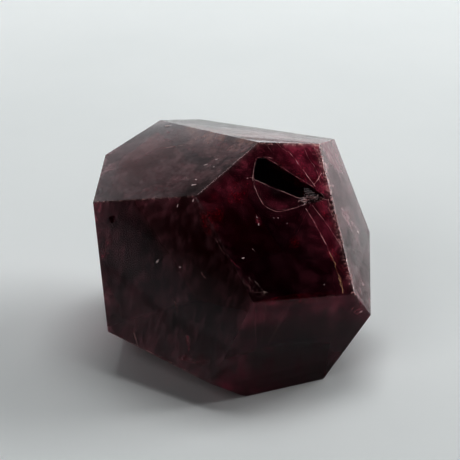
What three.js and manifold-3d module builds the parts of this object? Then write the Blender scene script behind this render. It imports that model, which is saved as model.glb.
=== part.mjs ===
// A polished garnet crystal. It grew as a twelve-faced garnet, and its faces were
// ground flat and polished. A thirteenth, small flat face under it is what it rests on.
// One shell-shaped chip is broken out of the clear face at the front right.
// Units are millimetres and +Z is up. The origin is on the surface that the crystal
// rests on, under the middle of its outline.

import * as THREE from 'three';
import { ConvexGeometry } from 'three/addons/geometries/ConvexGeometry.js';
import { mergeVertices } from 'three/addons/utils/BufferGeometryUtils.js';
import Module from 'manifold-3d';

// The crystal's centre is this far above the face that it rests on.
const CENTRE_HEIGHT = 17;

// Every face is a plane. bearing is the compass direction that it looks in, in degrees
// from the front (-Y) round towards the right (+X). rise is how far that direction
// points above the horizontal, in degrees. reach is the plane's distance from the centre.
const FACES = {
  top: { bearing: 165, rise: 72, reach: 18.6 },
  upperLeft: { bearing: -84, rise: 71, reach: 16.9 },
  frontLeft: { bearing: -34, rise: 20, reach: 18.6 },
  frontRight: { bearing: 34, rise: 49, reach: 16.3 },
  right: { bearing: 80, rise: 27, reach: 20.1 },
  lowerRight: { bearing: 24, rise: -6, reach: 24.1 },
  lowerLeft: { bearing: -47, rise: -56, reach: 22.3 },
  underRight: { bearing: 99, rise: -36, reach: 20.0 },
  backRight: { bearing: 148, rise: -12, reach: 16.6 },
  underBack: { bearing: -151, rise: -46, reach: 20.3 },
  left: { bearing: -95, rise: -10, reach: 21.6 },
  back: { bearing: -141, rise: 6, reach: 25.8 },
  rest: { bearing: 0, rise: -90, reach: CENTRE_HEIGHT },
};

// The chip is two shallow scoops side by side, with a ridge left standing between them.
// across and up place a scoop on the front right face, from the foot of the line that
// runs square to it from the centre. turn is the scoop's long direction on the face,
// in degrees from across towards up.
const CHIP_SCOOPS = [
  { across: 4.8, up: 2.6, turn: -52, halfLength: 6.8, halfWidth: 2.5, depth: 1.5 },
  { across: 2.3, up: 0.6, turn: -28, halfLength: 4.6, halfWidth: 3, depth: 1.1 },
];
// Each scoop is cut by the lowest part of an egg shape that stands this much deeper
// than the scoop, so that the scoop's rim is steep and crisp.
const EGG_DEPTH_RATIO = 2.2;
const EGG_SEGMENTS_ROUND = 48;
const EGG_SEGMENTS_DOWN = 24;

const GARNET_COLOUR = 0x3a0d18;
const GARNET_ROUGHNESS = 0.12;
const INSIDE_TOLERANCE = 1e-6;
const MERGE_DISTANCE = 1e-5;

const wasm = await Module();
wasm.setup();

// The unit vector for a bearing and a rise.
function direction({ bearing, rise }) {
  const turn = THREE.MathUtils.degToRad(bearing);
  const lift = THREE.MathUtils.degToRad(rise);
  return new THREE.Vector3(
    Math.sin(turn) * Math.cos(lift),
    -Math.cos(turn) * Math.cos(lift),
    Math.sin(lift),
  );
}

// A face as a plane round the crystal's centre, which is the working origin.
function facePlane(face) {
  return new THREE.Plane(direction(face), -face.reach);
}

// The point where three planes meet, or null if they don't meet in one point.
function meetingPoint(first, second, third) {
  const matrix = new THREE.Matrix3().set(
    ...first.normal.toArray(),
    ...second.normal.toArray(),
    ...third.normal.toArray(),
  );
  if (Math.abs(matrix.determinant()) < INSIDE_TOLERANCE) {
    return null;
  }
  const reaches = new THREE.Vector3(-first.constant, -second.constant, -third.constant);
  return reaches.applyMatrix3(matrix.invert());
}

// The corners are the points where three faces meet and that no other face cuts off.
function crystalCorners(planes) {
  const corners = [];
  planes.forEach((first, i) => {
    planes.slice(i + 1).forEach((second, j) => {
      planes.slice(i + j + 2).forEach((third) => {
        const point = meetingPoint(first, second, third);
        if (point && planes.every((plane) => plane.distanceToPoint(point) < INSIDE_TOLERANCE)) {
          corners.push(point);
        }
      });
    });
  });
  return corners;
}

// A closed three.js geometry as a solid that can be cut.
function toSolid(geometry) {
  const bare = geometry.clone();
  bare.deleteAttribute('normal');
  bare.deleteAttribute('uv');
  const merged = mergeVertices(bare, MERGE_DISTANCE);
  return new wasm.Manifold(new wasm.Mesh({
    numProp: 3,
    vertProperties: new Float32Array(merged.attributes.position.array),
    triVerts: new Uint32Array(merged.index.array),
  }));
}

// A cut solid as a three.js geometry.
function toGeometry(solid) {
  const mesh = solid.getMesh();
  const geometry = new THREE.BufferGeometry();
  geometry.setAttribute('position', new THREE.BufferAttribute(mesh.vertProperties, 3));
  geometry.setIndex(new THREE.BufferAttribute(mesh.triVerts, 1));
  geometry.computeVertexNormals();
  return geometry;
}

// One scoop's cutter: an egg shape on the face, stretched so that the part of it below
// the face has the scoop's length, width and depth.
function scoopCutter(scoop, face) {
  const outward = direction(face);
  const across = new THREE.Vector3(0, 0, 1).cross(outward).normalize();
  const up = outward.clone().cross(across);
  const turn = THREE.MathUtils.degToRad(scoop.turn);
  const long = across.clone().multiplyScalar(Math.cos(turn)).addScaledVector(up, Math.sin(turn));
  const wide = outward.clone().cross(long);

  const eggDepth = scoop.depth * EGG_DEPTH_RATIO;
  const lift = eggDepth - scoop.depth;
  const rimShare = Math.sqrt(1 - (lift / eggDepth) ** 2);
  const egg = new THREE.SphereGeometry(1, EGG_SEGMENTS_ROUND, EGG_SEGMENTS_DOWN);
  egg.scale(scoop.halfLength / rimShare, scoop.halfWidth / rimShare, eggDepth);

  const centre = outward.clone().multiplyScalar(face.reach + lift)
    .addScaledVector(across, scoop.across)
    .addScaledVector(up, scoop.up);
  const place = new THREE.Matrix4().makeBasis(long, wide, outward).setPosition(centre);
  egg.applyMatrix4(place);
  return toSolid(egg);
}

// The whole crystal, with the chip cut out, standing on the origin's level.
function crystalGeometry() {
  const corners = crystalCorners(Object.values(FACES).map(facePlane));
  let solid = toSolid(new ConvexGeometry(corners));
  for (const scoop of CHIP_SCOOPS) {
    solid = solid.subtract(scoopCutter(scoop, FACES.frontRight));
  }
  const geometry = toGeometry(solid);
  geometry.computeBoundingBox();
  const box = geometry.boundingBox;
  const middle = box.getCenter(new THREE.Vector3());
  geometry.translate(-middle.x, -middle.y, -box.min.z);
  return geometry;
}

function garnetMaterial() {
  return new THREE.MeshStandardMaterial({
    color: GARNET_COLOUR,
    roughness: GARNET_ROUGHNESS,
    metalness: 0,
    flatShading: true,
  });
}

const crystal = new THREE.Mesh(crystalGeometry(), garnetMaterial());
crystal.name = 'garnet_crystal';

const part = new THREE.Group();
part.name = 'polished_garnet';
part.add(crystal);

export default part;
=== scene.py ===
"""A polished garnet crystal: very dark red and see-through, with flat ground faces, worn
edges, a shell-shaped chip, and the cracks and veils that lie inside it.

Lengths are in metres and +Z is up. Places on the crystal are given on one of its faces, in
millimetres: across the face, up the face, and down into the stone.
"""

import itertools
import math

import bmesh
import bpy
import numpy as np
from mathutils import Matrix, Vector


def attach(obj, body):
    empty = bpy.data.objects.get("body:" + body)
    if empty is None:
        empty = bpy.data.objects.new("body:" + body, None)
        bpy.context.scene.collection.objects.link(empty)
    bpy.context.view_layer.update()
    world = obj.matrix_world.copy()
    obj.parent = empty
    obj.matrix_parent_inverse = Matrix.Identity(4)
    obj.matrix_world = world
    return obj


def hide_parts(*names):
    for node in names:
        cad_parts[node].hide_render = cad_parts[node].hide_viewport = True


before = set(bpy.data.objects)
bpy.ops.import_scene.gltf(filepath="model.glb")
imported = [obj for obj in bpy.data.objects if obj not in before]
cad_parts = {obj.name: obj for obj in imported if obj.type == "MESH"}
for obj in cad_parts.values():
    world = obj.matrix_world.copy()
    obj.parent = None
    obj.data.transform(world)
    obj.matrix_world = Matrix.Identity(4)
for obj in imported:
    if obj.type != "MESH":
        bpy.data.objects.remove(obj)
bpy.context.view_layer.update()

MM = 0.001
CRYSTAL = "garnet_crystal"
CENTRE = np.array([0, 0, 17.0])

# Which way each face looks: degrees from the front (-Y) round to the right (+X), and
# degrees above the horizontal.
LOOKS = {
    "top": (165, 72),
    "upper_left": (-84, 71),
    "front_left": (-34, 20),
    "front_right": (34, 49),
    "right": (80, 27),
    "lower_right": (24, -6),
    "lower_left": (-47, -56),
    "left": (-95, -10),
    "back_right": (148, -12),
}


# ---------------------------------------------------------------- shader arithmetic


class Wire:
    """A socket of one material's node tree, which can be used in arithmetic."""

    def __init__(self, paint, socket):
        self.paint = paint
        self.socket = socket

    def __add__(self, other):
        return self.paint.maths("ADD", self, other)

    def __sub__(self, other):
        return self.paint.maths("SUBTRACT", self, other)

    def __mul__(self, other):
        return self.paint.maths("MULTIPLY", self, other)

    def __truediv__(self, other):
        return self.paint.maths("DIVIDE", self, other)

    def __rsub__(self, other):
        return self.paint.maths("SUBTRACT", other, self)

    __radd__ = __add__
    __rmul__ = __mul__


class Paint:
    """One material's node tree, and the few ways in which nodes are added to it."""

    MIX_A, MIX_B, MIX_RESULT = 6, 7, 2

    def __init__(self, owner, place="Object"):
        self.owner = owner
        owner.use_nodes = True
        self.tree = owner.node_tree
        self.tree.nodes.clear()
        self.place = self.node("TexCoord", output=place)

    def feed(self, socket, value):
        if isinstance(value, Wire):
            self.tree.links.new(value.socket, socket)
        else:
            socket.default_value = value

    def node(self, kind, settings=None, values=None, output=0):
        """Any node: its settings are set first, then the values or links of its sockets."""
        made = self.tree.nodes.new("ShaderNode" + kind)
        for name, value in (settings or {}).items():
            setattr(made, name, value)
        for name, value in (values or {}).items():
            self.feed(made.inputs[name], value)
        return None if output is None else Wire(self, made.outputs[output])

    def maths(self, operation, *values):
        return self.node("Math", {"operation": operation}, dict(enumerate(values)))

    def lowest(self, first, second):
        return self.maths("MINIMUM", first, second)

    def highest(self, first, second):
        return self.maths("MAXIMUM", first, second)

    def vector(self, operation, *values, output=0):
        return self.node("VectorMath", {"operation": operation}, dict(enumerate(values)), output)

    def step(self, value, low, high):
        """0 below low and 1 above high, with a smooth rise between. low may be the higher."""
        return self.node(
            "MapRange",
            {"interpolation_type": "SMOOTHSTEP"},
            {"Value": value, "From Min": low, "From Max": high},
        )

    def blend(self, factor, first, second):
        """From the first colour to the second."""
        values = {0: factor, self.MIX_A: first, self.MIX_B: second}
        return self.node("Mix", {"data_type": "RGBA"}, values, self.MIX_RESULT)

    def stretched(self, turn=(0, 0, 0), scale=(1, 1, 1)):
        """Places turned by degrees round X, Y and Z, then scaled, for patterns with a grain."""
        values = {
            "Vector": self.place,
            "Rotation": tuple(math.radians(angle) for angle in turn),
            "Scale": scale,
        }
        return self.node("Mapping", None, values)

    def noise(self, size, detail=3, roughness=0.5, distortion=0, place=None):
        """Soft noise from 0 to 1 whose blotches are about size millimetres across."""
        values = {
            "Vector": place or self.place,
            "Scale": 1 / (size * MM),
            "Detail": detail,
            "Roughness": roughness,
            "Distortion": distortion,
        }
        return self.node("TexNoise", None, values)

    def below(self, face):
        """How deep a place lies under the plane of a face, in millimetres."""
        along = self.vector("DOT_PRODUCT", self.place, tuple(face.outward), output="Value")
        return face.reach - along / MM

    def past_ridge(self):
        """How far a place lies past the chip's ridge, towards its upper break."""
        face = FACES["front_right"]
        (across, up), (far_across, far_up) = CHIP_RIDGE[1], CHIP_RIDGE[3]
        length = math.hypot(far_across - across, far_up - up)
        outward = face.across * (up - far_up) / length + face.up * (far_across - across) / length
        reach = face.at(across, up) @ outward
        return self.vector("DOT_PRODUCT", self.place, tuple(outward), output="Value") / MM - reach

    def fading(self, depth, reach):
        """1 at no depth, falling to about a third at each reach of depth."""
        return self.maths("EXPONENT", depth * (-1 / reach))

    def distance(self, point):
        """How far a place is from a point, in millimetres."""
        apart = self.vector("DISTANCE", self.place, tuple(point * MM), output="Value")
        return apart / MM

    def bump(self, height, distance, strength=1, normal=None):
        values = {"Height": height, "Distance": distance * MM, "Strength": strength}
        if normal is not None:
            values["Normal"] = normal
        return self.node("Bump", None, values)

    def finish(self, surface, volume=None):
        values = {"Surface": surface}
        if volume is not None:
            values["Volume"] = volume
        self.node("OutputMaterial", None, values, None)
        return self.owner


# ---------------------------------------------------------------- places on the crystal


def looking(bearing, rise):
    """The unit direction for a bearing and a rise in degrees."""
    turn, lift = math.radians(bearing), math.radians(rise)
    return np.array([
        math.sin(turn) * math.cos(lift),
        -math.cos(turn) * math.cos(lift),
        math.sin(lift),
    ])


def node_triangles(name):
    """The corners of every triangle of a node, in millimetres, as an array of triangles."""
    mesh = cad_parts[name].data
    mesh.calc_loop_triangles()
    places = np.empty(len(mesh.vertices) * 3)
    mesh.vertices.foreach_get("co", places)
    corners = np.empty(len(mesh.loop_triangles) * 3, np.int32)
    mesh.loop_triangles.foreach_get("vertices", corners)
    return places.reshape(-1, 3)[corners].reshape(-1, 3, 3) / MM


def flat_planes(triangles, least_area=8.0):
    """The planes of the large flat faces, as outward directions and distances. Triangles
    that share a direction and a distance are one face, and small faces are left out."""
    cross = np.cross(triangles[:, 1] - triangles[:, 0], triangles[:, 2] - triangles[:, 0])
    double_area = np.linalg.norm(cross, axis=1)
    big = double_area > 1e-6
    outward = cross[big] / double_area[big, None]
    reach = np.einsum("ij,ij->i", outward, triangles[big, 0])
    keys = np.round(np.column_stack([outward * 100, reach * 4])).astype(int)
    groups, which = np.unique(keys, axis=0, return_inverse=True)
    which = which.ravel()
    weight = double_area[big] / 2
    area = np.bincount(which, weight, len(groups))
    planes = np.column_stack([outward, reach])
    mean = np.stack([np.bincount(which, weight * planes[:, i], len(groups)) for i in range(4)], 1)
    mean = (mean / area[:, None])[area > least_area]
    return mean / np.linalg.norm(mean[:, :3], axis=1)[:, None]


PLANES = flat_planes(node_triangles(CRYSTAL))


class Face:
    """One flat face of the crystal, with its own axes: across it, up it, and outward."""

    def __init__(self, name):
        plane = PLANES[np.argmax(PLANES[:, :3] @ looking(*LOOKS[name]))]
        self.outward = plane[:3]
        self.reach = plane[3]
        self.across = np.cross([0, 0, 1], self.outward)
        self.across /= np.linalg.norm(self.across)
        self.up = np.cross(self.outward, self.across)
        self.foot = CENTRE + (self.reach - self.outward @ CENTRE) * self.outward

    def at(self, across, up, depth=0.0):
        """The point across and up the face, and depth into the stone."""
        across, up, depth = np.broadcast_arrays(across, up, depth)
        return (
            self.foot
            + across[..., None] * self.across
            + up[..., None] * self.up
            - depth[..., None] * self.outward
        )


FACES = {name: Face(name) for name in LOOKS}


# ---------------------------------------------------------------- meshes


def new_piece(name, places, polygons, material, attributes=None):
    """A mesh piece from points in millimetres."""
    mesh = bpy.data.meshes.new(name)
    mesh.from_pydata(np.asarray(places) * MM, [], [list(map(int, p)) for p in polygons])
    for key, values in (attributes or {}).items():
        layer = mesh.attributes.new(key, "FLOAT", "POINT")
        layer.data.foreach_set("value", np.asarray(values, np.float32))
    mesh.validate()
    piece = bpy.data.objects.new(name, mesh)
    bpy.context.scene.collection.objects.link(piece)
    if material is not None:
        mesh.materials.append(material)
    return piece


def crystal_outline():
    """The crystal without its chip: the corners are the points where three planes meet
    and no other plane cuts them off, and each face joins its corners in order round it."""
    normals, reaches = PLANES[:, :3], PLANES[:, 3]
    corners = []
    for three in itertools.combinations(range(len(PLANES)), 3):
        matrix = normals[list(three)]
        if abs(np.linalg.det(matrix)) > 1e-4:
            point = np.linalg.solve(matrix, reaches[list(three)])
            if np.all(normals @ point - reaches < 1e-3):
                corners.append(point)
    corners = np.array(corners)
    polygons = []
    for plane in PLANES:
        on_it = np.flatnonzero(np.abs(corners @ plane[:3] - plane[3]) < 1e-2)
        spokes = corners[on_it] - corners[on_it].mean(axis=0)
        side = spokes[0] / np.linalg.norm(spokes[0])
        other = np.cross(plane[:3], side)
        polygons.append(on_it[np.argsort(np.arctan2(spokes @ other, spokes @ side))])
    return corners, polygons


def grid_faces(rows, columns, wrap=False):
    """The four-sided faces of a grid of points, rows by columns. wrap joins the last
    column to the first."""
    row, column = np.meshgrid(
        np.arange(rows - 1), np.arange(columns if wrap else columns - 1), indexing="ij"
    )
    beside = (column + 1) % columns
    faces = np.stack(
        [
            row * columns + column,
            row * columns + beside,
            (row + 1) * columns + beside,
            (row + 1) * columns + column,
        ],
        axis=-1,
    )
    return faces.reshape(-1, 4)


def joined(shapes):
    """Several (points, polygons) shapes as one."""
    places, polygons, start = [], [], 0
    for some, faces in shapes:
        places.append(some)
        polygons += [[start + corner for corner in polygon] for polygon in faces]
        start += len(some)
    return np.concatenate(places), polygons


def lens(
    centre, across, up, outward, length, width, thickness, bend, seed, rough=0.12, rings=7, spokes=28
):
    """A thin closed leaf. A point at share r out from the middle and at angle a lies
    r cos a half lengths across and r sin a half widths up. It is bent by bend times r
    squared, and its two sides stand off by half the thickness times the root of one less
    r squared. The outline swells and shrinks by a few sine waves. Returns the points,
    the polygons, and each point's share r."""
    random = np.random.default_rng(seed)
    share = np.concatenate([np.linspace(0, 1, rings + 1)[1:], np.linspace(1, 0, rings + 1)[1:-1]])
    side = np.concatenate([np.ones(rings), -np.ones(rings - 1)])
    angle = np.linspace(0, 2 * np.pi, spokes, endpoint=False)
    waves = sum(
        random.uniform(-1, 1) * np.sin(k * angle + random.uniform(0, 6.3)) / k**0.5
        for k in range(2, 7)
    )
    outline = 1 + rough * waves
    crumple = sum(
        random.uniform(-1, 1) * np.sin(k * angle + random.uniform(0, 6.3)) for k in range(1, 5)
    )
    share, side = share[:, None], side[:, None]
    x = share * np.cos(angle) * outline * length / 2
    y = share * np.sin(angle) * outline * width / 2
    z = (
        bend * share**2
        + 0.12 * abs(bend) * crumple * share
        + side * thickness / 2 * np.sqrt(np.clip(1 - share**2, 0, 1))
    )
    grid = centre + x[..., None] * across + y[..., None] * up + z[..., None] * outward
    tips = centre + np.array([[1], [-1]]) * outward * thickness / 2
    rows = 2 * rings - 1
    last = (rows - 1) * spokes
    around = np.arange(spokes)
    beside = (around + 1) % spokes
    top, bottom = rows * spokes, rows * spokes + 1
    polygons = [list(face) for face in grid_faces(rows, spokes, wrap=True)]
    polygons += [[top, q, p] for p, q in zip(around, beside)]
    polygons += [[bottom, last + p, last + q] for p, q in zip(around, beside)]
    shares = np.concatenate([np.repeat(share.ravel(), spokes), [0, 0]])
    return np.concatenate([grid.reshape(-1, 3), tips]), polygons, shares


def face_lens(face, across, up, depth, length, width, turn=0, lean=(0, 0), **more):
    """A leaf under a face. turn turns its length on the face, and lean tips its length
    and its width down into the stone, all in degrees."""
    face = FACES[face]
    angle = math.radians(turn)
    long = math.cos(angle) * face.across + math.sin(angle) * face.up
    wide = np.cross(face.outward, long)
    tips = [math.tan(math.radians(degrees)) for degrees in lean]
    long = long - tips[0] * face.outward
    wide = wide - tips[1] * face.outward
    long, wide = long / np.linalg.norm(long), wide / np.linalg.norm(wide)
    outward = np.cross(long, wide)
    outward /= np.linalg.norm(outward)
    centre = face.at(across, up, depth)
    return lens(centre, long, wide, outward, length, width, **more)


# Cracks start this deep: just proud of the face, so that they show on it.
CRACK_TOP = -0.012
FLECK_TOP = -0.03


def rounded(values):
    """The values with each one averaged with its neighbours. The two ends stay."""
    padded = np.pad(values, 2, mode="edge")
    smooth = np.convolve(padded, [0.15, 0.2, 0.3, 0.2, 0.15], "valid")
    smooth[[0, -1]] = values[[0, -1]]
    return smooth


def crack(face, path, reach, lean=0.0, start=CRACK_TOP, thickness=0.08, seed=1, wander=0.10):
    """A crack that runs into the stone from a line on a face. Along the line it wanders a
    little, and its width swells and shrinks. Across it, the crack is a thin wedge: its points go down one side, round its
    deep edge and back up the other, and its top lies flat at the start depth. reach is how
    deep it goes, full in the middle of the line and nothing at its ends, and lean is how
    far it slants across for each step down. start is a depth, or gives it from across and up.
    Returns the points, the polygons, and each point's share of the depth."""
    random = np.random.default_rng(seed)
    face = FACES[face]
    path = np.array(path, float)
    run = np.concatenate([[0], np.cumsum(np.hypot(*np.diff(path, axis=0).T))])
    count = max(12, int(run[-1] / 0.25))
    at = np.linspace(0, run[-1], count)
    across, up = (rounded(np.interp(at, run, path[:, axis])) for axis in (0, 1))
    slope = np.column_stack([np.gradient(across), np.gradient(up)])
    slope /= np.linalg.norm(slope, axis=1)[:, None]
    side = np.column_stack([-slope[:, 1], slope[:, 0]])
    shake = sum(
        random.uniform(-1, 1) / k * np.sin(k * at * 1.3 + random.uniform(0, 6.3))
        for k in range(1, 8)
    )
    sway = np.sin(np.pi * at / run[-1]) ** 0.5 * wander * shake
    share = np.array([0, 0.08, 0.5, 1, 0.5, 0.08, 0])
    flank = np.array([1, 0.6, 0.4, 0, -0.4, -0.6, -1]) * thickness / 2
    full = np.sin(np.pi * at / run[-1]) ** 0.6 * reach * (1 + 0.25 * np.sin(at * 2.1 + seed)) + 0.02
    top = start(across, up)[:, None] if callable(start) else start
    depth = top + full[:, None] * share
    swell = 1 + 0.5 * np.sin(at * 1.7 + seed) * np.sin(at * 0.6 + 2 * seed)
    sideways = sway[:, None] + flank * swell[:, None] + lean * (depth - top)
    points = face.at(
        across[:, None] + side[:, :1] * sideways, up[:, None] + side[:, 1:] * sideways, depth
    )
    columns = len(share)
    polygons = [list(quad) for quad in grid_faces(count, columns, wrap=True)]
    polygons.append(list(range(columns))[::-1])
    polygons.append([(count - 1) * columns + k for k in range(columns)])
    return points.reshape(-1, 3), polygons, np.tile(share, count)


def hairlines(face, path, aside, count, seed, reach=0.5, start=CRACK_TOP):
    """Short fine cracks scattered along a path on a face, up to about aside from it.
    start is a depth, or gives it from across and up."""
    random = np.random.default_rng(seed)
    path = np.array(path, float)
    run = np.concatenate([[0], np.cumsum(np.hypot(*np.diff(path, axis=0).T))])
    leaves = []
    for k in range(count):
        at = random.uniform(0, run[-1])
        across, up = (np.interp(at, run, path[:, axis]) for axis in (0, 1))
        next_across, next_up = (np.interp(at + 0.1, run, path[:, axis]) for axis in (0, 1))
        turn = math.atan2(next_up - up, next_across - across) + random.normal(0, 0.55)
        half = random.uniform(0.15, 0.8) * np.array([math.cos(turn), math.sin(turn)])
        middle = np.array([across, up]) + random.normal(0, aside / 2, 2)
        ends = [middle - half, middle + half + random.normal(0, 0.08, 2)]
        thickness = random.uniform(0.02, 0.05)
        if within(FACES[face].at(*np.transpose(ends), 0.1), 0.08):
            leaves.append(crack(
                face, ends, reach, 0.3, start, thickness=thickness, seed=seed + k, wander=0.04
            ))
    return leaves


def corner(*names):
    """The point where three named faces meet."""
    faces = [FACES[name] for name in names]
    return np.linalg.solve([f.outward for f in faces], [f.reach for f in faces])


# Across and up the clear face: the ridge that parts the chip's two breaks.
CHIP_RIDGE = np.array([(-1.4, 5.0), (0.0, 4.4), (3.1, 1.8), (6.1, -0.8), (8.2, -1.2), (10.4, -2.2)])


def chip_depth(across, up):
    """How deep the chip is, in millimetres, at places on the clear face. It is below zero
    outside the chip. The upper break slopes evenly down from its rim at the upper right
    until it meets a ridge. Below the ridge the lower break is a little shallower, and
    rises to a short lip along the lower rim. All the other rims are steep. Faint rings
    run round the point where the blow fell."""

    def inside(start, end, wave=0.12, rate=1.9):
        """How far a point lies to the left of the line from start to end."""
        line = np.subtract(end, start) / math.hypot(*np.subtract(end, start))
        along = (across - start[0]) * line[0] + (up - start[1]) * line[1]
        straight = (up - start[1]) * line[0] - (across - start[0]) * line[1]
        return straight + wave * np.sin(along * rate)

    def sloping(rim):
        return rim * (0.30 - 0.018 * rim)

    far_rim = inside((11.4, -2.6), (3.0, 8.1))
    near_rims = [
        inside((4.8, 7.3), (0.4, 8.4), 0.05, 2.5),
        inside((1.9, 8.9), (-1.5, 3.6), 0.10, 2.3),
        inside((-1.25, 5.6), (-1.6, -0.4), 0.08, 2.7),
        inside((-1.9, 0.4), (0.9, -2.5), 0.05, 3.0),
        inside((-0.4, -2.2), (11.4, -2.7), 0.10, 1.7),
    ]
    soft = 0.45
    near_rim = -soft * np.log(sum(np.exp(-np.clip(rim, -3, 9) / soft) for rim in near_rims))
    ridge = np.interp(across, *CHIP_RIDGE.T)
    above = 0.75 * (up - ridge)
    ridge_depth = np.interp(across, [-1.4, 0, 3.1, 6.1, 8.2, 10.4], [0.28, 0.38, 0.70, 0.66, 0.42, 0.1])
    share = np.clip(-above, 0, 9) / (np.clip(-above, 0, 9) + np.clip(near_rim, 0.01, 9))
    lower = ridge_depth + (0.26 - ridge_depth) * share
    upper = sloping(far_rim)
    cross_over = 1 / (1 + np.exp(-above / 0.09))
    floor = np.minimum(lower, upper + 0.1) * (1 - cross_over) + upper * cross_over
    blow = np.hypot(across - 1.0, up - 8.3)
    rings = 0.006 * np.sin(blow * 4.4) + 0.004 * np.sin(blow * 9.7 + 0.4 * across)
    crushed = 0.16 * np.abs((across * 0.9 + up * 2.9) % 1.1 - 0.55)
    crushed = crushed * np.clip((across - 5.8) / 2, 0, 1) * np.clip(near_rim / 0.8, 0, 1)
    floor = floor + rings - crushed * np.clip(floor / 0.3, 0, 1)
    return np.clip(np.minimum(floor, np.minimum(2.6 * near_rim, 1.2 * far_rim)), -0.25, 3)


# Across and up the clear face: the chip's top, left and lower rims as one line, its far
# rim, and a crushed line across it.
CHIP_RIM = [
    (4.4, 7.2), (3.4, 7.75), (1.5, 8.1), (0.2, 6.4), (-0.8, 5.0), (-1.35, 3.6), (-1.5, 1.0),
    (-1.3, -0.6), (0.0, -1.95), (1.0, -2.35), (3.6, -2.45), (6.5, -2.4),
]
CHIP_FAR_RIM = [(3.2, 7.8), (5.1, 5.4), (7.2, 2.7), (9.3, 0.1)]
CHIP_CRUSHED = [(5.4, -1.5), (6.2, -0.9), (7.2, -1.6), (8.6, -1.3), (10.0, -2.4)]


def chip_surface(across, up):
    """Where a line drawn on the chip lies: just proud of its floor, or of the face."""
    return np.clip(chip_depth(across, up), 0, None) - 0.02


def chip_cutter():
    """A block over the clear face, whose underside is the chip's floor."""
    face = FACES["front_right"]
    across, up = np.meshgrid(np.linspace(-3, 12.6, 190), np.linspace(-4.4, 10, 176), indexing="ij")
    floor = face.at(across, up, chip_depth(across, up))
    lid = face.at(across, up, -2.0)
    rows, columns = across.shape
    count = rows * columns
    index = np.arange(count).reshape(rows, columns)
    rim = np.concatenate([index[0, :-1], index[:-1, -1], index[-1, :0:-1], index[:0:-1, 0]])
    after = np.roll(rim, -1)
    walls = np.stack([rim, after, after + count, rim + count], axis=1)
    bottom = grid_faces(rows, columns)
    polygons = np.concatenate([bottom, bottom[:, ::-1] + count, walls[:, ::-1]])
    return np.concatenate([floor.reshape(-1, 3), lid.reshape(-1, 3)]), polygons


# The worn edges: the corner where each starts and ends, how many nicks it has, and how
# large they are.
WORN_EDGES = [
    (("top", "upper_left", "front_right"), ("top", "front_right", "right"), 16, 0.42),
    (("top", "front_right", "right"), ("front_right", "right", "lower_right"), 22, 0.42),
    (("top", "upper_left", "front_right"), ("upper_left", "front_left", "front_right"), 8, 0.26),
    (("upper_left", "front_left", "front_right"), ("upper_left", "front_left", "left"), 9, 0.28),
    (("front_right", "right", "lower_right"), ("front_left", "front_right", "lower_right"), 8, 0.3),
    (("upper_left", "front_left", "left"), ("front_left", "left", "lower_left"), 7, 0.3),
    (("front_left", "left", "lower_left"), ("front_left", "lower_right", "lower_left"), 14, 0.45),
    (("top", "front_right", "right"), ("top", "right", "back_right"), 5, 0.3),
]


def nick_cutters():
    """Small leaf shapes along the worn edges, which cut the nicks in them."""
    random = np.random.default_rng(17)
    shapes = []
    for start, end, count, size in WORN_EDGES:
        first, last = corner(*start), corner(*end)
        outward = first + last - 2 * CENTRE
        outward /= np.linalg.norm(outward)
        along = (last - first) / np.linalg.norm(last - first)
        for _ in range(count):
            share = random.uniform(0.03, 0.97)
            length = size * random.uniform(0.4, 1.6)
            centre = first + share * (last - first) + outward * random.uniform(0.0, 0.08)
            twist = random.uniform(-0.5, 0.5)
            long = along + twist * np.cross(outward, along)
            long /= np.linalg.norm(long)
            wide = np.cross(outward, long)
            leaf = lens(
                centre, long, wide, outward, length, size * random.uniform(0.35, 0.9),
                0.35 * size, 0.0, int(random.integers(1000)), 0.3, 2, 7,
            )
            shapes.append(leaf[:2])
    pit = face_lens("front_left", -13.4, 1.5, 0.1, 1.5, 1.3, 40, thickness=1.5, bend=0, seed=5,
                    rings=4, spokes=14)
    shapes.append(pit[:2])
    return joined(shapes)


def closed_outward(piece):
    """Turns every face of a closed piece outwards."""
    work = bmesh.new()
    work.from_mesh(piece.data)
    bmesh.ops.recalc_face_normals(work, faces=work.faces)
    work.to_mesh(piece.data)
    work.free()


def applied(piece):
    """The piece with its modifiers applied."""
    found = piece.evaluated_get(bpy.context.evaluated_depsgraph_get())
    mesh = bpy.data.meshes.new_from_object(found)
    piece.modifiers.clear()
    piece.data = mesh
    return piece


def cut(piece, cutter, overlapping=False):
    """Takes the cutter's shape out of the piece, and removes the cutter. overlapping is
    for a cutter whose parts run into each other."""
    modifier = piece.modifiers.new("cut", "BOOLEAN")
    modifier.operation = "DIFFERENCE"
    modifier.solver = "EXACT"
    modifier.use_self = overlapping
    modifier.object = cutter
    applied(piece)
    bpy.data.objects.remove(cutter)
    return piece


EDGE_WIDTH = 0.14
SHARP_ANGLE = 14


def garnet_body(material):
    """The crystal with its edges slightly rounded, its chip broken out, and the nicks and
    the pit in its edges and faces."""
    body = new_piece("polished_crystal", *crystal_outline(), material)
    closed_outward(body)
    bevel = body.modifiers.new("worn edges", "BEVEL")
    bevel.width = EDGE_WIDTH * MM
    bevel.segments = 3
    bevel.limit_method = "NONE"
    applied(body)
    for name, shape in (("chip_shape", chip_cutter()), ("nick_shapes", nick_cutters())):
        cutter = new_piece(name, *shape, None)
        closed_outward(cutter)
        cut(body, cutter, overlapping=name == "nick_shapes")
    body.data.shade_smooth()
    body.data.set_sharp_from_angle(angle=math.radians(SHARP_ANGLE))
    return body


def within(places, depth):
    """Whether all the places lie at least depth inside the crystal."""
    return np.all(np.atleast_2d(places) @ PLANES[:, :3].T < PLANES[:, 3] - depth)


def kept_inside(places, depth):
    """The places, with any that are less than depth under a face moved down to it."""
    for plane in PLANES:
        past = places @ plane[:3] - plane[3] + depth
        places = places - np.clip(past, 0, None)[:, None] * plane[:3]
    return places


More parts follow.
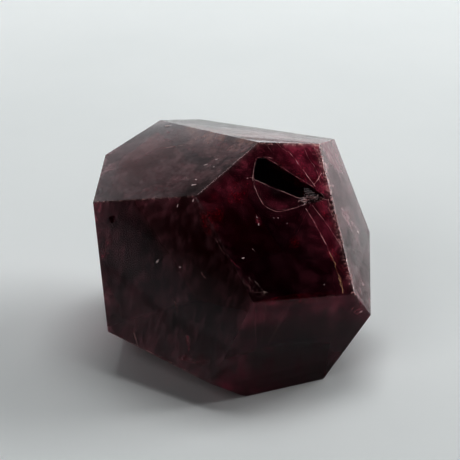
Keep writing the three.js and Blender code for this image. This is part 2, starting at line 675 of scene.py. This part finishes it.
def sheets(name, material, leaves, depth=0.03):
    """One piece from several leaves or cracks, none of it less than depth under a face.
    Its points keep the share attribute, which is 0 where a sheet begins and 1 at its far
    edge."""
    places, polygons = joined([leaf[:2] for leaf in leaves])
    piece = new_piece(
        name,
        kept_inside(places, depth),
        polygons,
        material,
        {"share": np.concatenate([leaf[2] for leaf in leaves])},
    )
    closed_outward(piece)
    piece.data.shade_smooth()
    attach(piece, "root")
    return piece


# Each veil: its face, the across, up and depth of its middle, its length and width, its turn
# on the face, how far its length and its width lean down, how far it bends, and its seed.
# The red veils lie deep in the clear face, and catch the light in crimson.
RED_VEILS = [
    ("front_right", 9.5, 1.2, 2.2, 9, 6, -60, (8, -14), 1.0, 3),
    ("front_right", 8.8, 4.8, 3.4, 10, 5, -20, (5, 12), -0.8, 4),
    ("front_right", 9.6, -4.5, 1.9, 11, 3.6, -82, (6, 24), 0.7, 5),
    ("front_right", 7.6, -13.5, 2.4, 12, 3.4, -80, (-5, 20), 0.8, 6),
    ("front_right", -4.2, 3.6, 2.2, 9, 5, 20, (10, -18), 0.9, 8),
    ("front_right", -9.6, 1.2, 2.6, 8, 4.4, 60, (-12, 14), 0.7, 9),
    ("front_right", 1.9, -7.8, 3.2, 3.6, 2.4, 30, (14, 10), 0.4, 10),
    ("front_right", -3.5, -2.5, 0.35, 2.6, 1.5, 70, (6, 9), 0.1, 11),
    ("front_left", 5.9, -14.6, 0.25, 3.4, 0.9, -72, (10, 20), 0.2, 13),
    ("front_left", -13.7, -4.0, 0.5, 7, 2.2, 85, (8, 10), 0.4, 14),
    ("front_left", 7.4, -17.2, 1.2, 7, 2.6, 12, (4, -12), 0.4, 15),
    ("lower_right", 1.5, 2.6, 1.6, 19, 3.2, -8, (2, -26), 0.6, 16),
    ("lower_right", 12.2, -1.6, 1.0, 3.4, 2.4, 20, (4, 8), 0.3, 17),
]
# The crown veils are paler, and lie close under the upper left face and the top.
CROWN_VEILS = [
    ("upper_left", -6.1, -1.5, 0.7, 4.6, 2.4, 20, (6, 8), 0.3, 21),
    ("upper_left", -10.2, -9.9, 0.8, 6.4, 1.5, 96, (5, 12), 0.3, 22),
    ("upper_left", -14.5, -4.5, 1.4, 9, 6, 40, (6, -6), 0.6, 23),
    ("upper_left", 3.5, -10.0, 1.3, 12, 5, 70, (-5, 8), 0.5, 24),
    ("upper_left", -4.0, 4.2, 1.0, 12, 2.6, 8, (4, 6), 0.4, 25),
    ("top", -2.0, -8.0, 1.2, 16, 8, 15, (3, 4), 0.5, 26),
    ("top", 4.0, 5.0, 1.4, 14, 9, -30, (-4, 3), 0.5, 27),
]
VEIL_THICKNESS = 0.05


def veils(name, material, rows):
    """Broad healed cracks as one piece, a leaf for each row of a table."""
    leaves = [
        face_lens(*row[:8], thickness=VEIL_THICKNESS, bend=row[8], seed=row[9]) for row in rows
    ]
    return sheets(name, material, leaves)


def open_cracks(material):
    """The thin cracks, most of them near the right edge of the clear face and reaching its
    surface, and the lines along the chip's rims, its ridge and its crushed part."""
    clear = "front_right"
    leaves = [
        crack(clear, [(8.0, 7.6), (8.4, 5.9), (9.0, 3.2), (9.6, 0.2)], 2.2, 0.5, seed=1),
        crack(clear, [(9.6, 0.6), (10.7, 1.2), (12.1, 2.2)], 1.0, -0.4, seed=2),
        crack(clear, [(13.0, 7.3), (13.5, 5.2), (12.9, 2.6), (12.6, 1.4)], 1.6, -0.6,
              thickness=0.12, seed=3),
        crack(clear, [(12.0, -1.8), (11.3, -4.3), (10.4, -7.3), (9.5, -11.1)], 0.9, -0.5, seed=4),
        crack(clear, [(9.3, -12.6), (8.5, -15.5), (7.8, -18.6)], 0.7, -0.4, seed=5),
        crack(clear, [(10.9, -2.6), (10.0, -4.8), (10.2, -6.8)], 0.9, 0.5, seed=6, wander=0.25),
        crack(clear, [(5.9, -3.1), (6.2, -6.1), (6.3, -10.2), (6.2, -13.6)], 1.8, 0.7, seed=7),
        crack(clear, [(7.4, -2.9), (8.0, -5.5), (8.6, -8.6), (8.9, -11.5)], 1.2, 0.5,
              thickness=0.045, seed=8),
        crack(clear, [(-12.4, -3.2), (-12.2, -5.8), (-11.4, -8.6), (-10.4, -10.2)], 1.1, 0.8,
              start=0.5, thickness=0.04, seed=9),
        crack(clear, [(4.4, 10.3), (4.7, 9.2), (5.0, 8.0)], 0.8, 0.4, thickness=0.04, seed=16),
        crack(clear, [(6.4, 9.8), (7.2, 8.2), (8.0, 7.4)], 0.8, -0.4, thickness=0.04, seed=17),
        crack(clear, [(11.2, 8.2), (11.0, 5.6), (11.4, 3.1), (10.9, 0.4)], 1.0, 0.5,
              thickness=0.04, seed=18),
        crack(clear, [(-7.2, -7.1), (-6.9, -8.0)], 0.3, 0.3, seed=10),
        crack("front_left", [(6.0, -2.6), (6.3, -3.2), (7.0, -3.4)], 0.4, 0.4, seed=11),
        crack("front_left", [(1.9, -8.8), (2.4, -9.4), (2.9, -10.4)], 0.3, 0.4, seed=12),
        crack("front_left", [(-5.0, -15.8), (-4.3, -16.9), (-3.7, -18.0)], 0.5, 0.4, seed=13),
        crack("upper_left", [(-10.8, -6.9), (-9.2, -4.0), (-7.9, -1.0)], 0.9, 0.5, seed=14),
    ]
    for path, seed, thickness in (
        (CHIP_RIDGE[:5], 15, 0.07),
        (CHIP_RIM, 19, 0.07),
        (CHIP_FAR_RIM, 21, 0.04),
        (CHIP_CRUSHED, 20, 0.05),
    ):
        leaves.append(crack(
            clear, path, 0.12, 0.2, start=chip_surface, seed=seed, thickness=thickness, wander=0.06
        ))
    leaves += hairlines(clear, [(13.4, 7.0), (12.6, 1.5), (11.6, -2.0), (10.2, -7.5)], 0.8, 34, 51)
    leaves += hairlines(
        clear, [(5.6, -1.6), (9.6, -1.6), (10.6, -2.6)], 0.7, 26, 52, 0.15, chip_surface
    )
    leaves += hairlines(clear, [(-11.0, -11.6), (-10.2, -14.0), (-8.8, -15.4)], 1.1, 22, 53, 0.25)
    return sheets("open_cracks", material, leaves, CRACK_TOP)


def golden_vein(material):
    """The lower end of the long crack, where iron has stained it golden."""
    leaves = [
        crack("front_right", [(6.2, -12.0), (6.1, -14.2), (5.9, -16.2), (5.0, -19.2)], 1.1, 0.6,
              thickness=0.12, seed=31, wander=0.2),
        crack("front_right", [(5.6, -16.4), (5.2, -17.6), (5.4, -18.8)], 0.6, -0.4,
              thickness=0.10, seed=32, wander=0.2),
    ]
    return sheets("golden_vein", material, leaves, CRACK_TOP)


# Patches of small flakes under a face: the middle across and up, how far the patch spreads
# along and across its length, its turn, how many flakes, and their size.
FLAKE_PATCHES = [
    ("front_right", -10.9, -13.2, 2.8, 1.0, -64, 60, 0.13),
    ("front_right", -9.4, -15.4, 2.0, 0.8, 10, 36, 0.11),
    ("front_right", 13.0, 5.4, 2.2, 0.25, 84, 22, 0.26),
    ("front_right", 8.2, -1.7, 1.6, 0.8, -14, 20, 0.14),
    ("front_right", 11.0, -5.4, 3.0, 0.3, 76, 22, 0.24),
    ("front_right", -3.6, -2.4, 0.9, 0.35, 80, 12, 0.36),
    ("front_right", -5.6, 4.2, 2.0, 1.2, 40, 12, 0.22),
    ("upper_left", -6.1, -1.5, 2.0, 0.9, 20, 26, 0.42),
    ("upper_left", -10.3, -9.8, 2.6, 0.4, 98, 20, 0.40),
    ("upper_left", -2.0, 4.6, 4.0, 0.9, 4, 20, 0.36),
    ("upper_left", 5.0, -9.0, 4.0, 2.4, 60, 18, 0.34),
    ("front_left", 7.2, -17.6, 2.6, 0.35, 6, 26, 0.36),
    ("front_left", 5.9, -14.8, 1.3, 0.25, -72, 14, 0.40),
    ("front_left", -13.6, -3.6, 2.2, 0.5, 86, 12, 0.34),
    ("front_left", -4.4, -17.0, 1.2, 0.2, -58, 14, 0.30),
    ("lower_right", 12.4, -1.8, 1.2, 0.8, 30, 16, 0.36),
]


def pink_flakes(material):
    """Patches of small cleavage flakes, which glow pink under the polish."""
    random = np.random.default_rng(71)
    leaves = []
    for face, across, up, long, wide, turn, count, size in FLAKE_PATCHES:
        angle = math.radians(turn)
        for along, aside in random.normal(0, 0.5, (count, 2)) * (long, wide):
            middle = (
                across + along * math.cos(angle) - aside * math.sin(angle),
                up + along * math.sin(angle) + aside * math.cos(angle),
            )
            if not within(FACES[face].at(*middle, 0.3), 0.25):
                continue
            top = max(float(chip_depth(*middle)), 0) if face == "front_right" else 0
            leaves.append(face_lens(
                face,
                *middle,
                top + random.uniform(0.05, 0.25),
                size * random.uniform(0.5, 1.8),
                size * random.uniform(0.25, 0.6),
                turn + random.normal(0, 25),
                (random.normal(0, 8), random.normal(0, 8)),
                thickness=0.03,
                bend=0.02,
                seed=int(random.integers(10000)),
                rings=3,
                spokes=9,
                rough=0.3,
            ))
    return sheets("pink_flakes", material, leaves)


# Each fleck lies just under a face: across, up, its length, and its turn.
FLECKS = [
    ("front_right", -9.5, -8.2, 0.62, 0),
    ("front_right", -0.7, -3.1, 0.35, 30),
    ("front_right", 0.1, -3.3, 0.3, 60),
    ("front_right", -3.6, -2.1, 0.4, 80),
    ("front_right", -3.9, -3.4, 0.5, 60),
    ("front_right", 2.4, -16.8, 0.3, 20),
    ("front_right", 1.2, -4.7, 0.25, 40),
    ("front_right", -1.9, 5.0, 0.4, 10),
    ("upper_left", 8.0, -2.1, 1.1, 70),
    ("upper_left", 6.4, -1.6, 0.6, 30),
    ("upper_left", 2.1, 0.6, 0.9, 100),
    ("upper_left", 1.6, 2.6, 0.6, 90),
    ("upper_left", 4.0, 1.8, 0.5, 60),
    ("upper_left", -18.5, -4.5, 1.2, 60),
    ("front_left", -2.9, -3.1, 0.8, 60),
    ("front_left", 1.7, -2.9, 0.5, 20),
    ("front_left", -1.1, 7.0, 0.6, 90),
    ("front_left", 1.7, 8.6, 0.6, 90),
    ("right", 2.0, 2.5, 0.5, 40),
    ("right", 3.0, -7.5, 0.7, 70),
    ("lower_right", 12.9, -2.2, 0.7, 20),
]


def pale_flecks(material):
    """Tiny open flaws under the polish, which flash white."""
    leaves = [
        face_lens(face, across, up, 0.0, length, length * 0.45, turn, (6, 8),
                  thickness=0.05, bend=0.02, seed=40 + k)
        for k, (face, across, up, length, turn) in enumerate(FLECKS)
    ]
    return sheets("pale_flecks", material, leaves, FLECK_TOP)


# ---------------------------------------------------------------- finishes


GARNET_IOR = 1.74
# Clear garnet darkens with depth: its colour at full density, and how dense it is, per metre.
STONE_COLOUR = (0.87, 0.0, 0.42, 1)
STONE_DENSITY = 900.0
# The colours of the clouds, from dark to light, which also carry painted glow; of the grey
# painted reflection over the crown; of the worn edges, whose pale speckles are partly
# worn stone and partly painted highlight; of the iron stain; and of the painted shade on
# the chip's broken stone.
CLOUD_AND_GLOW_DARK, CLOUD_AND_GLOW_LIGHT = (0.25, 0.014, 0.052, 1), (0.52, 0.09, 0.16, 1)
PAINTED_SHEEN_DARK, PAINTED_SHEEN_LIGHT = (0.20, 0.14, 0.145, 1), (0.36, 0.30, 0.30, 1)
WEAR_AND_HIGHLIGHT_PINK = (0.80, 0.50, 0.47, 1)
RUST_BROWN = (0.30, 0.17, 0.10, 1)
BREAK_SHADE_BLACK = (0.004, 0.002, 0.003, 1)
# The two colours of each film: a veil's dark and light, and a crack's surface and inside.
CRIMSON_FILM = (0.55, 0.02, 0.08, 1), (0.95, 0.22, 0.34, 1)
PALE_PINK_FILM = (0.45, 0.08, 0.12, 1), (0.85, 0.5, 0.5, 1)
PINK_FLAKE = (0.75, 0.30, 0.32, 1), (1.0, 0.72, 0.68, 1)
PALE_CRACK = (0.95, 0.72, 0.68, 1), (0.6, 0.1, 0.15, 1)
IRON_STAIN = (0.88, 0.70, 0.38, 1), (0.55, 0.24, 0.08, 1)
# How strongly the polish mirrors light that meets it head-on. Grazing light is not held back.
POLISH_TINT = (0.55, 0.48, 0.50, 1)


def polished_garnet():
    """Clear dark garnet with clouds in it. The clear stone is glass with garnet's bending
    of light, and it darkens with depth. A diffuse finish is mixed with the glass: partly
    cloud in the stone and partly painted glow, laid on mostly near the faces that light
    comes in by, where the stone looks lit from within. Over the crown and the right face
    its colour turns grey as a painted reflection. Pale speckles along the edges are partly
    worn stone and partly painted highlight, and the chip's upper break is painted nearly
    black as painted shade."""
    paint = Paint(bpy.data.materials.new("polished garnet"))
    ripple = paint.noise(9, detail=2)
    grain = paint.noise(0.9, detail=4, place=paint.stretched((20, 10, 35), (1, 1, 0.12)))
    polish = paint.bump(ripple, 0.05, 0.25)
    polish = paint.bump(grain, 0.01, 0.12, polish)
    roughness = paint.step(grain, 0.3, 0.9) * 0.06 + 0.07

    blotches = paint.noise(8, detail=4, roughness=0.55)
    wisps = paint.noise(2.6, detail=5, roughness=0.6, distortion=0.4)
    fine = paint.noise(0.5, detail=4, roughness=0.7)
    streaks = paint.noise(0.8, detail=5, roughness=0.6, place=paint.stretched((0, -12, 0), (1, 1, 0.1)))
    patchy = paint.step(blotches, 0.38, 0.62)
    streaky = paint.step(streaks, 0.34, 0.7)
    wispy = paint.step(wisps, 0.4, 0.7)
    depth = {name: paint.below(face) for name, face in FACES.items()}
    crown = paint.lowest(depth["top"], depth["upper_left"])
    band = depth["front_right"] + wisps * 1.2
    under_clear = paint.step(band, 5.2, 1.6) * paint.step(depth["front_right"], 0.05, 0.4)
    upper_right = paint.step(paint.distance(corner("top", "front_right", "right")), 30, 8)
    # Painted glow, partly real cloud: the diffuse finish is laid on most near the faces that the lamps
    # light and fades with depth under them, standing in for light shone through the stone. It is
    # stronger near the upper right corner, and the streaks on the front left face add painted
    # reflection.
    cloud_and_glow = (
        paint.fading(crown, 2.8) * (upper_right * 0.55 + 0.45)
        + paint.fading(depth["right"], 3.4) * (upper_right * 0.34 + 0.42)
        + paint.fading(depth["right"], 0.3) * (1 - upper_right) * 0.3
        + paint.fading(depth["left"], 2.4) * 0.45
        + paint.fading(depth["lower_left"], 3.0) * 0.40
        + under_clear * paint.step(depth["lower_right"], 1.5, 0.4) * 0.35
        + paint.fading(depth["front_left"], 0.7) * streaky * 0.27
        + paint.fading(depth["lower_right"], 0.7) * wispy * 0.09
    )
    near_chip = paint.step(paint.distance(FACES["front_right"].at(4.0, 2.5)), 8.5, 7.5)
    in_chip = near_chip * paint.step(depth["front_right"], 0.01, 0.08)
    past_ridge = paint.past_ridge()
    # Painted shade: beyond the ridge, the chip's upper break is tinted nearly black.
    dark_break_shade = in_chip * paint.step(past_ridge, -0.35, 0.15)
    # Painted glow along the lower rim of the chip.
    cloud_and_glow = cloud_and_glow + in_chip * paint.step(depth["front_right"], 0.5, 0.3) * 0.25
    amount = cloud_and_glow * (patchy * 0.5 + wispy * 0.4 + 0.3) + patchy * 0.02

    def wear_and_highlight(first, second, width, most):
        """Speckled pale marks where two faces meet: partly worn stone, partly painted highlight."""
        near = paint.step(depth[first] + depth[second], width, width * 0.25)
        return near * paint.step(fine + near * 0.06, 0.54, 0.66) * most

    # Pale speckles along the edges: partly worn stone, partly painted highlight along the edges.
    worn = (
        wear_and_highlight("front_right", "right", 1.0, 0.75)
        + wear_and_highlight("top", "front_right", 0.6, 0.8)
        + wear_and_highlight("upper_left", "front_right", 0.24, 0.5)
        + wear_and_highlight("upper_left", "front_left", 0.28, 0.6)
        + wear_and_highlight("front_right", "lower_right", 0.3, 0.3)
        + wear_and_highlight("front_left", "lower_left", 0.5, 0.6)
        + wear_and_highlight("top", "right", 0.3, 0.5)
    )
    # Painted highlight: pale speckles on the steep rims of the chip below its ridge.
    painted_rim_highlight = paint.step(depth["front_right"], 0.02, 0.06) * paint.step(depth["front_right"], 0.3, 0.2)
    painted_rim_highlight = painted_rim_highlight * paint.step(fine, 0.44, 0.6) * near_chip * paint.step(past_ridge, 2.4, 1.6)
    worn = paint.lowest(worn + painted_rim_highlight * 0.55, 0.9)
    amount = paint.highest(amount * (1 - in_chip * 0.35), worn)
    amount = paint.lowest(paint.highest(amount, dark_break_shade * (wispy * 0.2 + 0.6)), 0.92)

    polished = {
        "Roughness": roughness,
        "IOR": GARNET_IOR,
        "Specular Tint": POLISH_TINT,
        "Normal": polish,
    }
    clear = {"Base Color": (1, 1, 1, 1), "Transmission Weight": 1.0}
    glass = paint.node("BsdfPrincipled", None, polished | clear)
    tint = paint.blend(paint.step(wisps, 0.35, 0.75), CLOUD_AND_GLOW_DARK, CLOUD_AND_GLOW_LIGHT)
    # Painted reflection: on the crown and the right face, and at half strength on the front left face,
    # the finish's colour turns grey, standing in for reflected light.
    painted_sheen_mask = paint.fading(paint.lowest(crown, depth["right"]), 0.4)
    painted_sheen_mask = paint.highest(painted_sheen_mask, paint.fading(depth["front_left"], 0.4) * 0.5)
    painted_sheen = paint.blend(streaky, PAINTED_SHEEN_DARK, PAINTED_SHEEN_LIGHT)
    tint = paint.blend(painted_sheen_mask * 0.8, tint, painted_sheen)
    rusty = paint.fading(depth["top"] + depth["upper_left"], 2.2) * wispy
    tint = paint.blend(rusty * 0.6, tint, RUST_BROWN)
    # Pale edge speckles: partly worn stone, partly painted highlight.
    tint = paint.blend(worn, tint, WEAR_AND_HIGHLIGHT_PINK)
    # Painted shade: the chip's upper break turns nearly black.
    tint = paint.blend(dark_break_shade, tint, BREAK_SHADE_BLACK)
    cloud_and_glow_finish = paint.node("BsdfPrincipled", None, polished | {"Base Color": tint})
    surface = paint.node("MixShader", None, {0: amount, 1: glass, 2: cloud_and_glow_finish})
    inside = paint.node("VolumeAbsorption", None, {"Color": STONE_COLOUR, "Density": STONE_DENSITY})
    return paint.finish(surface, inside)


def healed_veil(name, dark, light, most, size, gaps=(0.36, 0.7)):
    """A healed crack: a film of tiny flaws, in patches, which thins out towards its rim."""
    paint = Paint(bpy.data.materials.new(name))
    share = paint.node("Attribute", {"attribute_name": "share"}, None, "Fac")
    patches = paint.noise(size, detail=6, roughness=0.65)
    fine = paint.noise(size / 5, detail=3, roughness=0.6)
    film = paint.step(patches, *gaps) * paint.step(share, 1.0, 0.45)
    film = film * (paint.step(fine, 0.25, 0.75) * 0.6 + 0.4) * most
    colour = paint.blend(paint.step(fine, 0.4, 0.8), dark, light)
    values = {"Base Color": colour, "Roughness": 0.4, "Alpha": film}
    return paint.finish(paint.node("BsdfPrincipled", None, values))


def crack_film(name, surface_line, inner, spread=0.5):
    """A crack's walls: bright where it meets the surface, and a patchy film below."""
    paint = Paint(bpy.data.materials.new(name))
    share = paint.node("Attribute", {"attribute_name": "share"}, None, "Fac")
    broken = paint.step(paint.noise(1.1, detail=4, roughness=0.7), 0.36, 0.6)
    patches = paint.step(paint.noise(1.6, detail=4, roughness=0.6), 0.4, 0.7)
    line = paint.step(share, 0.4, 0.1) * (broken * 0.8 + 0.15)
    film = paint.highest(line, patches * paint.step(share, 1.0, 0.3) * spread)
    colour = paint.blend(line, inner, surface_line)
    values = {"Base Color": colour, "Roughness": 0.35, "Alpha": film}
    return paint.finish(paint.node("BsdfPrincipled", None, values))


def white_flaw():
    """The bright inside of a tiny open flaw."""
    paint = Paint(bpy.data.materials.new("white flaw"))
    grain = paint.noise(0.3, detail=2)
    colour = paint.blend(grain, (0.9, 0.62, 0.62, 1), (1, 0.95, 0.93, 1))
    values = {"Base Color": colour, "Roughness": 0.3, "Alpha": paint.step(grain, 0.2, 0.6) * 0.8}
    return paint.finish(paint.node("BsdfPrincipled", None, values))


def pale_floor():
    """Pale matt stone, a little patchy."""
    paint = Paint(bpy.data.materials.new("pale floor"))
    patches = paint.noise(60, detail=4)
    colour = paint.blend(patches, (0.76, 0.79, 0.79, 1), (0.84, 0.86, 0.86, 1))
    return paint.finish(paint.node("BsdfPrincipled", None, {"Base Color": colour, "Roughness": 0.7}))


# ---------------------------------------------------------------- the studio


def soft_light(name, place, target, size, glow, spread=180):
    """A soft box at place, turned to target. glow is how bright it looks, and spread is
    the angle, in degrees, that its light is held within."""
    light = bpy.data.lights.new(name, "AREA")
    light.shape = "RECTANGLE"
    light.size, light.size_y = size
    light.energy = glow * math.pi * size[0] * size[1]
    light.spread = math.radians(spread)
    lamp = bpy.data.objects.new(name, light)
    bpy.context.scene.collection.objects.link(lamp)
    lamp.location = place
    aim = np.array(target) - np.array(place)
    lamp.rotation_euler = Vector(aim).to_track_quat("-Z", "Y").to_euler()
    return lamp


def studio():
    floor = new_piece(
        "floor",
        [(-2500, -1500, 0), (2500, -1500, 0), (2500, 3500, 0), (-2500, 3500, 0)],
        [(0, 1, 2, 3)],
        pale_floor(),
    )
    bpy.context.scene.world = soft_room()
    soft_light("overhead", (0.1, 0.45, 1.15), (0, 0, 0), (0.8, 0.6), 3.6)
    soft_light("right_window", (1.15, 0.45, 0.6), (0, 0, 0.02), (0.8, 0.6), 6.0)
    soft_light("left_fill", (-0.7, -0.75, 0.85), (0, 0, 0.02), (0.9, 0.7), 1.3)
    soft_light("far_floor", (0, 0.5, 0.45), (0, 0.5, 0), (1.6, 0.5), 0.55, 80)


def soft_room():
    """The room round the stone: a soft pale band above the horizon, brightest at the
    back, under a dark ceiling."""
    paint = Paint(bpy.data.worlds.new("soft room"), "Generated")
    apart = paint.node("SeparateXYZ", None, {"Vector": paint.place}, "Y")
    height = Wire(paint, apart.socket.node.outputs["Z"])
    back = paint.step(height, 0.75, 0.25) * paint.step(apart, -0.2, 0.9)
    glow = back * 1.0 + paint.step(height, 0.27, 0.02) * 0.62
    paint.node("OutputWorld", None, {
        "Surface": paint.node("Background", None, {"Color": (0.95, 0.98, 1, 1), "Strength": glow}),
    }, None)
    return paint.owner


CAMERA_PLACE = (-0.0006, -0.361, 0.199)
CAMERA_PITCH = 26.44
SENSOR_WIDTH = 36
CAMERA_LENS = 182.1
VIEW_EXPOSURE = 0.3
VIEW_GAMMA = 0.7


def camera():
    data = bpy.data.cameras.new("camera")
    data.sensor_width = SENSOR_WIDTH
    data.lens = CAMERA_LENS
    data.clip_start = 0.01
    eye = bpy.data.objects.new("camera", data)
    bpy.context.scene.collection.objects.link(eye)
    eye.location = CAMERA_PLACE
    eye.rotation_euler = (math.radians(90 - CAMERA_PITCH), 0, 0)
    bpy.context.scene.camera = eye


# ---------------------------------------------------------------- putting it together

body = garnet_body(polished_garnet())
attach(body, "root")
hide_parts(CRYSTAL)

veils("red_veils", healed_veil("crimson veil", *CRIMSON_FILM, 0.9, 2.4), RED_VEILS)
veils("crown_veils", healed_veil("pale pink veil", *PALE_PINK_FILM, 0.8, 2.0), CROWN_VEILS)
open_cracks(crack_film("pale crack", *PALE_CRACK, 0.4))
golden_vein(crack_film("iron stain", *IRON_STAIN, 0.7))
pale_flecks(white_flaw())
pink_flakes(healed_veil("pink flake", *PINK_FLAKE, 1.0, 1.0, (0.2, 0.5)))

studio()
camera()
view = bpy.context.scene.view_settings
view.view_transform = "Standard"
view.exposure = VIEW_EXPOSURE
view.gamma = VIEW_GAMMA
